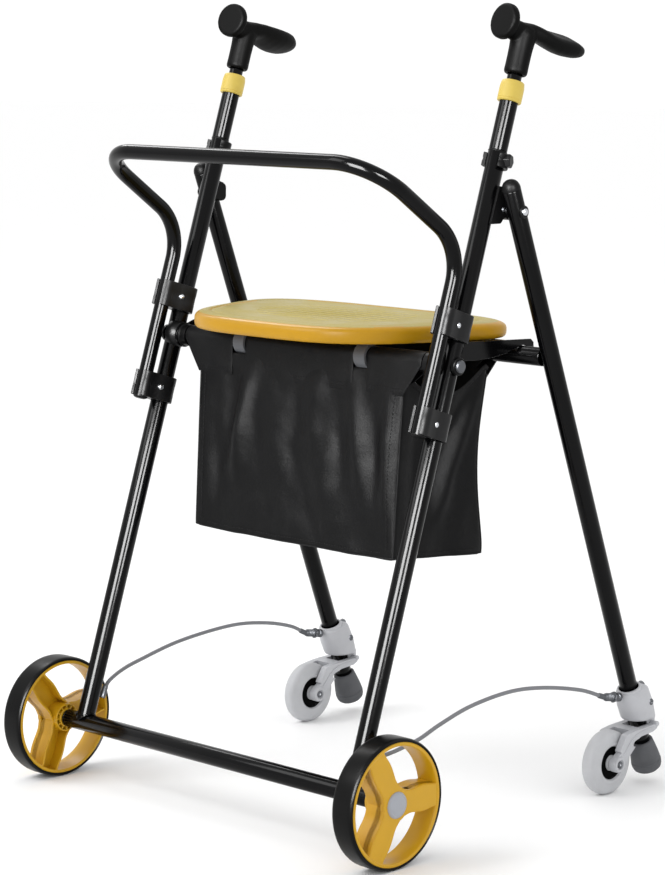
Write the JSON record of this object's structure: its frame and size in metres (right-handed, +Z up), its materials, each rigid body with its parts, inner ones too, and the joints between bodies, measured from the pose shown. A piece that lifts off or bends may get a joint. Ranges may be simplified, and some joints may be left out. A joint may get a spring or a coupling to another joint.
{
  "type": "rollator",
  "caption": "Folding rollator with a tip-up seat, front back-rest bar, shopping bag, large front wheels, and small rear casters braked by pressing down on the handles",
  "frame": {"origin": "on the floor under the middle of the bounding box, wheels at rest", "axes": "+Z up; -Y is the front, with the large wheels and the back-rest bar; +Y is the rear, with the casters; the two sides mirror each other across X"},
  "size_m": [0.5986, 0.5974, 0.9581],
  "materials": {
    "backrest_clip_lower_l": "black moulding",
    "backrest_clip_lower_r": "black moulding",
    "backrest_clip_upper_l": "black moulding",
    "backrest_clip_upper_r": "black moulding",
    "backrest_tube": "gloss black paint",
    "bag_back": "woven charcoal",
    "bag_body": "woven charcoal",
    "brake_cable_l": "grey sleeve",
    "brake_cable_r": "grey sleeve",
    "cable_adjuster_l": "grey moulding",
    "cable_adjuster_r": "grey moulding",
    "caster_axle_l": "zinc plated",
    "caster_axle_r": "zinc plated",
    "caster_fork_l": "light grey moulding",
    "caster_fork_r": "light grey moulding",
    "caster_housing_l": "light grey moulding",
    "caster_housing_r": "light grey moulding",
    "front_axle_rod": "zinc plated",
    "front_axle_tube": "gloss black paint",
    "front_cross_tube": "gloss black paint",
    "front_leg_l": "gloss black paint",
    "front_leg_r": "gloss black paint",
    "front_rim_l": "mustard moulding",
    "front_rim_r": "mustard moulding",
    "front_tyre_l": "thin tread",
    "front_tyre_r": "thin tread",
    "grip_l": "black moulding",
    "grip_r": "black moulding",
    "handle_tube_l": "gloss black paint",
    "handle_tube_r": "gloss black paint",
    "height_clamp_l": "black moulding",
    "height_clamp_r": "black moulding",
    "hinge_bolt_l": "zinc plated",
    "hinge_bolt_r": "zinc plated",
    "hinge_bracket_l": "black moulding",
    "hinge_bracket_r": "black moulding",
    "hub_cap_l": "light grey moulding",
    "hub_cap_r": "light grey moulding",
    "post_l": "gloss black paint",
    "post_r": "gloss black paint",
    "press_spring_l": "spring steel",
    "press_spring_r": "spring steel",
    "rear_cross_tube": "gloss black paint",
    "rear_leg_cap_l": "black moulding",
    "rear_leg_cap_r": "black moulding",
    "rear_leg_l": "gloss black paint",
    "rear_leg_r": "gloss black paint",
    "rear_wheel_l": "light grey moulding",
    "rear_wheel_r": "light grey moulding",
    "rubber_foot_l": "grey rubber",
    "rubber_foot_r": "grey rubber",
    "seat_bar_l": "gloss black paint",
    "seat_bar_r": "gloss black paint",
    "seat_hook_l": "grey moulding",
    "seat_hook_r": "grey moulding",
    "seat_pivot_rod": "zinc plated",
    "seat_plate": "mustard moulding",
    "tube_collar_l": "pale yellow moulding",
    "tube_collar_r": "pale yellow moulding"
  },
  "bodies": {
    "front_frame": {"front_leg_l": "front_leg_l", "front_leg_r": "front_leg_r", "front_axle_tube": "front_axle_tube", "front_axle_rod": "front_axle_rod", "front_cross_tube": "front_cross_tube", "seat_pivot_rod": "seat_pivot_rod", "backrest_tube": "backrest_tube", "backrest_clip_upper_l": "backrest_clip_upper_l", "backrest_clip_upper_r": "backrest_clip_upper_r", "backrest_clip_lower_l": "backrest_clip_lower_l", "backrest_clip_lower_r": "backrest_clip_lower_r", "hinge_bracket_l": "hinge_bracket_l", "hinge_bracket_r": "hinge_bracket_r", "hinge_bolt_l": "hinge_bolt_l", "hinge_bolt_r": "hinge_bolt_r", "height_clamp_l": "height_clamp_l", "height_clamp_r": "height_clamp_r", "brake_cable_l": "brake_cable_l", "brake_cable_r": "brake_cable_r", "bag_body": "bag_body", "bag_back": "bag_back"},
    "rear_frame": {"rear_leg_l": "rear_leg_l", "rear_leg_r": "rear_leg_r", "rear_leg_cap_l": "rear_leg_cap_l", "rear_leg_cap_r": "rear_leg_cap_r", "rear_cross_tube": "rear_cross_tube", "caster_housing_l": "caster_housing_l", "caster_housing_r": "caster_housing_r", "cable_adjuster_l": "cable_adjuster_l", "cable_adjuster_r": "cable_adjuster_r", "rubber_foot_l": "rubber_foot_l", "rubber_foot_r": "rubber_foot_r"},
    "seat": {"seat_plate": "seat_plate", "seat_hook_l": "seat_hook_l", "seat_hook_r": "seat_hook_r", "seat_bar_l": "seat_bar_l", "seat_bar_r": "seat_bar_r"},
    "handle_l": {"handle_tube_l": "handle_tube_l", "tube_collar_l": "tube_collar_l", "press_spring_l": "press_spring_l"},
    "brake_handle_l": {"post_l": "post_l", "grip_l": "grip_l"},
    "wheel_arm_l": {"caster_fork_l": "caster_fork_l", "caster_axle_l": "caster_axle_l"},
    "rear_wheel_l": {"rear_wheel_l": "rear_wheel_l"},
    "front_wheel_l": {"front_tyre_l": "front_tyre_l", "front_rim_l": "front_rim_l", "hub_cap_l": "hub_cap_l"},
    "handle_r": {"handle_tube_r": "handle_tube_r", "tube_collar_r": "tube_collar_r", "press_spring_r": "press_spring_r"},
    "brake_handle_r": {"post_r": "post_r", "grip_r": "grip_r"},
    "wheel_arm_r": {"caster_fork_r": "caster_fork_r", "caster_axle_r": "caster_axle_r"},
    "rear_wheel_r": {"rear_wheel_r": "rear_wheel_r"},
    "front_wheel_r": {"front_tyre_r": "front_tyre_r", "front_rim_r": "front_rim_r", "hub_cap_r": "hub_cap_r"}
  },
  "joints": [
    {"name": "frame_fold", "type": "hinge", "parent": "front_frame", "child": "rear_frame", "pos_m": [0, 0.00812, 0.7215], "axis": [-1, 0, 0], "range_deg": [0, 24], "deforming": ["bag_back", "brake_cable_l", "brake_cable_r"]},
    {"name": "seat_hinge", "type": "hinge", "parent": "front_frame", "child": "seat", "pos_m": [0, -0.07299, 0.548], "axis": [1, 0, 0], "range_deg": [0, 72]},
    {"name": "handle_height_l", "type": "slide", "parent": "front_frame", "child": "handle_l", "axis": [0, 0.3037, 0.9528], "range_m": [0, 0.12]},
    {"name": "brake_press_l", "type": "slide", "parent": "handle_l", "child": "brake_handle_l", "axis": [0, -0.3037, -0.9528], "range_m": [0, 0.008], "stiffness_N_per_m": 1500, "springref_m": -0.01, "deforming": ["press_spring_l"]},
    {"name": "wheel_lift_l", "type": "hinge", "parent": "rear_frame", "child": "wheel_arm_l", "pos_m": [-0.256, 0.27324, 0.079], "axis": [-1, 0, 0], "range_deg": [0, 8.1], "stiffness_Nm_per_rad": 20, "springref_deg": -11.46},
    {"name": "rear_wheel_spin_l", "type": "hinge", "parent": "wheel_arm_l", "child": "rear_wheel_l", "pos_m": [-0.256, 0.19924, 0.04], "axis": [1, 0, 0], "continuous": true},
    {"name": "front_wheel_spin_l", "type": "hinge", "parent": "front_frame", "child": "front_wheel_l", "pos_m": [-0.2813, -0.22376, 0.075], "axis": [1, 0, 0], "continuous": true},
    {"name": "handle_height_r", "type": "slide", "parent": "front_frame", "child": "handle_r", "axis": [0, 0.3037, 0.9528], "range_m": [0, 0.12]},
    {"name": "brake_press_r", "type": "slide", "parent": "handle_r", "child": "brake_handle_r", "axis": [0, -0.3037, -0.9528], "range_m": [0, 0.008], "stiffness_N_per_m": 1500, "springref_m": -0.01, "deforming": ["press_spring_r"]},
    {"name": "wheel_lift_r", "type": "hinge", "parent": "rear_frame", "child": "wheel_arm_r", "pos_m": [0.256, 0.27324, 0.079], "axis": [-1, 0, 0], "range_deg": [0, 8.1], "stiffness_Nm_per_rad": 20, "springref_deg": -11.46},
    {"name": "rear_wheel_spin_r", "type": "hinge", "parent": "wheel_arm_r", "child": "rear_wheel_r", "pos_m": [0.256, 0.19924, 0.04], "axis": [1, 0, 0], "continuous": true},
    {"name": "front_wheel_spin_r", "type": "hinge", "parent": "front_frame", "child": "front_wheel_r", "pos_m": [0.2813, -0.22376, 0.075], "axis": [1, 0, 0], "continuous": true}
  ],
  "couplings": [
    {"joint": "wheel_lift_l", "follows": "brake_press_l", "rad_per_m": 17.45},
    {"joint": "wheel_lift_r", "follows": "brake_press_r", "rad_per_m": 17.45}
  ]
}
